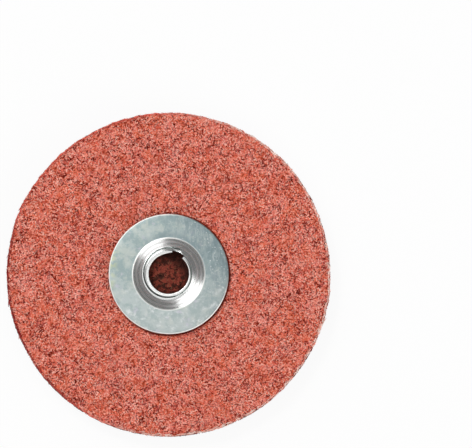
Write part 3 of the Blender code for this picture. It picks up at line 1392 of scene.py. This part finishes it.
@dataclass
class AbrasiveWeb:
    """The nonwoven web, up to the felt: looped, resin-coated fibres over a dark core, with grain on them."""

    core_depth: float = 0.0013
    core_inset: float = 0.0007
    skirt_drop: float = 0.0009
    skirt_width: float = 0.0040
    span: int = 90
    core_void: float = 0.0007
    core_grain: float = 0.0022
    fibre_width: float = 0.00021
    fibre_step: float = 0.00040
    fibre_turn: float = 0.27
    fibre_points: tuple[int, int] = (28, 64)
    tooth_pitch: float = 0.00075
    stub_length: float = 0.0009
    grain_size: float = 0.00011
    grains: int = 2600
    side_fibres: int = 900
    side_depth: tuple[float, float] = (0.00012, 0.0006)
    tooth_ends: tuple[int, int] = (3, 5)
    layers: tuple[WebLayer, ...] = (
        WebLayer("surface", 0.00005, 0.00040, 520, 1.0),
        WebLayer("middle", 0.00040, 0.00090, 480, 0.75),
        WebLayer("deep", 0.00090, 0.00150, 340, 0.55, holds_grain=False),
    )
    resin: Colour = (0.165, 0.088, 0.080)
    resin_drift: Colour = (0.28, 0.175, 0.160)
    finish: WebCoreFinish = WebCoreFinish()
    edge_finish: FibreFinish = FibreFinish(
        "web_edge_resin", (0.13, 0.050, 0.045), (0.25, 0.082, 0.066), 0.55, 0.3
    )
    grain_finish: ResinFinish = ResinFinish(
        "grain_mineral", (0.30, 0.17, 0.14), (0.62, 0.47, 0.42), 0.2, 0.0009
    )

    def __post_init__(self) -> None:
        """Takes the web's place and size from the frame."""
        low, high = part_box("abrasive_web")
        self.radius = high.x
        self.bottom = low.z
        self.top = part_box("felt_backing")[0].z
        self.anchors: list[Vector] = []

    def core(self) -> bpy.types.Object:
        """The dense core, pitted between the fibres and drawn down at the cut edge."""
        radius = self.radius - self.core_inset
        piece = filled_disc("web_core", radius, self.bottom + self.core_depth, self.top, self.span, 6)
        below = self.top - NEAR
        for vertex in piece.data.vertices:
            if vertex.co.z > below:
                continue
            pit = abs(noise.noise(vertex.co / self.core_grain)) * self.core_void
            rim = vertex.co.xy.length > radius - NEAR
            if rim:
                vertex.co.xy *= 1.0 - pit / radius
            if vertex.co.z < self.bottom + self.core_depth + NEAR:
                skirt = max(1.0 - (radius - vertex.co.xy.length) / self.skirt_width, 0.0)
                vertex.co.z += pit - self.skirt_drop * skirt**0.7
        return dress(piece, self.finish.material(), "abrasive_web")

    def face_fibre(self, layer: WebLayer, chance: random.Random) -> Path:
        """A looped fibre in one layer of the working face.

        Args:
            layer: The layer that it lies in.
            chance: Where its random draws come from.

        Returns:
            Its points in order.
        """
        ways = Wander(self.fibre_step, self.fibre_turn, chance)
        phase, waves = chance.uniform(0.0, TURN), chance.uniform(0.25, 0.6)
        limit = self.radius - self.fibre_width
        path = []
        for k, (x, y) in enumerate(ways.walk(somewhere(chance, limit), chance.randint(*self.fibre_points))):
            if math.hypot(x, y) > limit:
                break
            swing = 0.5 + 0.5 * math.sin(phase + waves * k)
            sunk = (layer.deep - layer.shallow) * swing
            height = self.bottom + self.fibre_width / 2 + layer.shallow + sunk
            path.append(Vector((x, y, height)))
        return path

    def side_fibre(self, chance: random.Random) -> Path:
        """A looped fibre that shows in the cut edge."""
        ways = Wander(self.fibre_step, self.fibre_turn, chance)
        start = (chance.uniform(0.0, TURN * self.radius), chance.uniform(self.bottom, self.top))
        low, high = self.bottom + self.fibre_width, self.top - self.fibre_width
        depth = chance.uniform(*self.side_depth)
        path = []
        for along, height in ways.walk(start, chance.randint(*self.fibre_points) // 2):
            if not low < height < high:
                break
            angle = along / self.radius
            r = self.radius - depth + chance.gauss(0.0, 0.00004)
            path.append(polar(r, angle, height))
        return path

    def stub(self, angle: float, chance: random.Random) -> Path:
        """A cut fibre end that points out of the edge.

        Args:
            angle: Where its tooth is.
            chance: Where its random draws come from.

        Returns:
            Its points in order.
        """
        margin = self.fibre_width
        z = chance.uniform(self.bottom + margin, self.top - margin)
        tip = self.radius - chance.uniform(0.0, 1.0) * self.fibre_width
        start = tip - self.stub_length * chance.uniform(0.5, 1.0)
        slew = chance.gauss(0.0, 0.0035)
        middle = (start + tip) / 2
        drift = chance.gauss(0.0, 0.00012)
        low, high = self.bottom + margin / 2, self.top - margin / 2
        return [
            polar(r, a, min(max(h, low), high))
            for r, a, h in (
                (start, angle + slew, z),
                (middle, angle + slew / 2, z + drift / 2),
                (tip, angle, z + drift),
            )
        ]

    def edge(self) -> bpy.types.Object:
        """The cut edge: loops, and the comb of cut ends that the die leaves."""
        chance = random.Random(71)
        strands = Strands("web_edge_fibres", self.fibre_width)
        for _ in range(self.side_fibres):
            path = self.side_fibre(chance)
            if len(path) > 3:
                strands.add(path, chance.uniform(0.7, 1.2))
        teeth = round(TURN * self.radius / self.tooth_pitch)
        for tooth in range(teeth):
            angle = TURN * (tooth + chance.uniform(-0.2, 0.2)) / teeth
            for _ in range(chance.randint(*self.tooth_ends)):
                strands.add(self.stub(angle, chance), chance.uniform(0.8, 1.3))
        return dress(strands.build(), self.edge_finish.material())

    def layer(self, layer: WebLayer) -> bpy.types.Object:
        """One layer of the working face.

        Args:
            layer: Which layer.

        Returns:
            The layer as one dressed piece.
        """
        chance = random.Random(90 + layer.fibres)
        name = f"web_fibres_{layer.name}"
        strands = Strands(name, self.fibre_width)
        for _ in range(layer.fibres):
            path = self.face_fibre(layer, chance)
            if len(path) > 3:
                strands.add(path, chance.uniform(0.75, 1.2))
                if layer.holds_grain:
                    self.anchors += path[1:-1]
        colour, drift = (tuple(layer.shade * c for c in whole) for whole in (self.resin, self.resin_drift))
        finish = FibreFinish(name + "_resin", colour, drift, 0.42, 0.4)
        return dress(strands.build(), finish.material())

    def grain(self) -> bpy.types.Object:
        """The abrasive grains, each an angular crumb stuck to a fibre."""
        chance = random.Random(12)
        crumbs = bmesh.new()
        for place in chance.sample(self.anchors, min(self.grains, len(self.anchors))):
            size = self.grain_size * chance.uniform(0.5, 1.1)
            shape = Matrix.Diagonal((size, size * chance.uniform(0.6, 1.0), size * 0.7, 1.0))
            pole = Vector((chance.random(), chance.random(), 0.5))
            spin = Matrix.Rotation(chance.uniform(0.0, TURN), 4, pole)
            offset = Vector((chance.uniform(-1, 1), chance.uniform(-1, 1), chance.uniform(-0.6, 0.4)))
            centre = place + offset * self.fibre_width * 0.5
            centre.z = max(centre.z, self.bottom + size)
            bmesh.ops.create_icosphere(
                crumbs, subdivisions=1, radius=1.0, matrix=Matrix.Translation(centre) @ spin @ shape
            )
        mesh = bpy.data.meshes.new("abrasive_grain")
        crumbs.to_mesh(mesh)
        crumbs.free()
        piece = placed("abrasive_grain", mesh)
        return dress(piece, self.grain_finish.material(), sharp_above=math.radians(20.0))

    def build(self) -> list[bpy.types.Object]:
        """Makes the web's core, its layers of fibre, its cut edge and its grain."""
        pieces = [self.core(), *[self.layer(layer) for layer in self.layers]]
        return [*pieces, self.edge(), self.grain()]


@dataclass
class AdhesiveRing:
    """The ring of set adhesive that shows as a bead under the flange's rim."""

    inner: float = 0.0092
    bead: float = 0.00022
    wander: float = 0.00016
    ripples: float = 9.0
    steps: int = 240
    finish: ResinFinish = ResinFinish("amber_adhesive", (0.16, 0.06, 0.035), (0.28, 0.12, 0.06))

    def build(self) -> list[bpy.types.Object]:
        """Makes the ring, which fills the seat between the felt and the flange."""
        low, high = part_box("hub_adhesive")
        felt_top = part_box("felt_backing")[1].z
        flange_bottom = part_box("metal_hub")[0].z
        outer, inner = high.x, self.inner
        corners = [
            Corner(outer, flange_bottom, self.bead, 4),
            Corner(outer, felt_top, self.bead, 4),
            Corner(inner, felt_top),
            Corner(inner, flange_bottom),
        ]
        piece = turn_section("adhesive_ring", corners, self.steps)
        for vertex in piece.data.vertices:
            if vertex.co.xy.length > (outer + inner) / 2:
                ripple = noise.noise(vertex.co.normalized() * self.ripples)
                vertex.co.xy *= 1.0 + self.wander * ripple / outer
        return [dress(piece, self.finish.material(), "hub_adhesive", math.radians(50.0))]


@dataclass(frozen=True)
class Softbox:
    """A softbox that points at the disc.

    Its azimuth, anticlockwise from +X, and its height above the floor are in degrees. A glow of 1 is white.
    """

    name: str
    azimuth: float
    height: float
    size: tuple[float, float]
    glow: float
    distance: float = 1.1

    def hang(self) -> None:
        """Makes the lamp at its place."""
        data = bpy.data.lights.new(self.name, "AREA")
        data.shape = "RECTANGLE"
        data.size, data.size_y = self.size
        data.energy = self.glow * math.pi * data.size * data.size_y
        rise = math.radians(self.height)
        away = polar(math.cos(rise), math.radians(self.azimuth), math.sin(rise))
        lamp = placed(self.name, data)
        lamp.location = away * self.distance
        lamp.rotation_euler = (-away).to_track_quat("-Z", "Y").to_euler()


@dataclass
class Studio:
    """The plain floor, the soft lights and the camera."""

    focal_mm: float = 390.3
    sensor_mm: float = 36.0
    distance: float = 1.2
    aim: tuple[float, float] = (0.0158, 0.01182)
    stand_off: tuple[float, float] = (-0.0257, -0.0560)
    floor_size: float = 4.0
    ambient: float = 0.17
    lamps: tuple[Softbox, ...] = (
        Softbox("key", 128.0, 60.0, (0.25, 0.25), 20.0),
        Softbox("left_card", 122.0, 26.0, (0.95, 0.9), 1.5),
        Softbox("right_card", -42.0, 25.0, (1.15, 0.9), 1.9),
        Softbox("overhead", 215.0, 80.0, (2.2, 2.2), 0.75, 1.8),
    )

    def camera(self) -> None:
        """Places the camera nearly straight above, a little to the lower left."""
        data = bpy.data.cameras.new("camera")
        data.lens = self.focal_mm
        data.sensor_width = self.sensor_mm
        data.clip_start = 0.01
        data.clip_end = 20.0
        camera = placed("camera", data)
        target = Vector((*self.aim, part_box("felt_backing")[1].z))
        camera.location = target + Vector((*self.stand_off, self.distance))
        back = (camera.location - target).normalized()
        right = Vector((0.0, 1.0, 0.0)).cross(back).normalized()
        axes = Matrix((right, back.cross(right), back)).transposed()
        camera.rotation_euler = axes.to_euler()
        bpy.context.scene.camera = camera

    def floor(self) -> None:
        """Lays a pale floor that shows white to the camera and keeps the disc's shadow."""
        deselect_all()
        bpy.ops.mesh.primitive_plane_add(size=self.floor_size)
        floor = named("floor")
        recipe = Recipe("pale_floor")
        recipe.set(Base_Color=rgba((0.88, 0.88, 0.88)), Roughness=0.9, Specular_IOR_Level=0.1)
        rays = recipe.add("ShaderNodeLightPath")
        seen = (
            Signal(recipe, rays.outputs["Is Camera Ray"])
            + Signal(recipe, rays.outputs["Is Glossy Ray"])
            + Signal(recipe, rays.outputs["Is Transmission Ray"])
        )
        glow = recipe.add("ShaderNodeEmission", {}, {"Color": rgba((1.0, 1.0, 1.0)), "Strength": 1.0})
        mixed = recipe.add(
            "ShaderNodeMixShader", {}, {0: seen * 0.92, 1: recipe.shader.outputs[0], 2: glow.outputs[0]}
        )
        recipe.feed(recipe.tree.nodes["Material Output"].inputs["Surface"], mixed.outputs[0])
        floor.data.materials.append(recipe.material)

    def lights(self) -> None:
        """Sets an even studio light with a key from the upper left and a fill from the lower right."""
        world = bpy.data.worlds.new("studio")
        world.use_nodes = True
        background = world.node_tree.nodes["Background"]
        background.inputs["Color"].default_value = rgba((1.0, 1.0, 1.0))
        background.inputs["Strength"].default_value = self.ambient
        bpy.context.scene.world = world
        for lamp in self.lamps:
            lamp.hang()

    def build(self) -> None:
        """Sets the stage."""
        bpy.context.scene.view_settings.view_transform = "Standard"
        self.camera()
        self.floor()
        self.lights()


def main() -> None:
    """Builds the studio and then the disc, from the working face up."""
    logging.basicConfig(level=logging.INFO, format="%(name)s: %(message)s")
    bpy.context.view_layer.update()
    Studio().build()
    for assembly in (AbrasiveWeb(), FeltBacking(), AdhesiveRing(), ThreadedHub()):
        pieces = assembly.build()
        log.info("%s: %s", type(assembly).__name__, ", ".join(piece.name for piece in pieces))


if __name__ == "__main__":
    main()
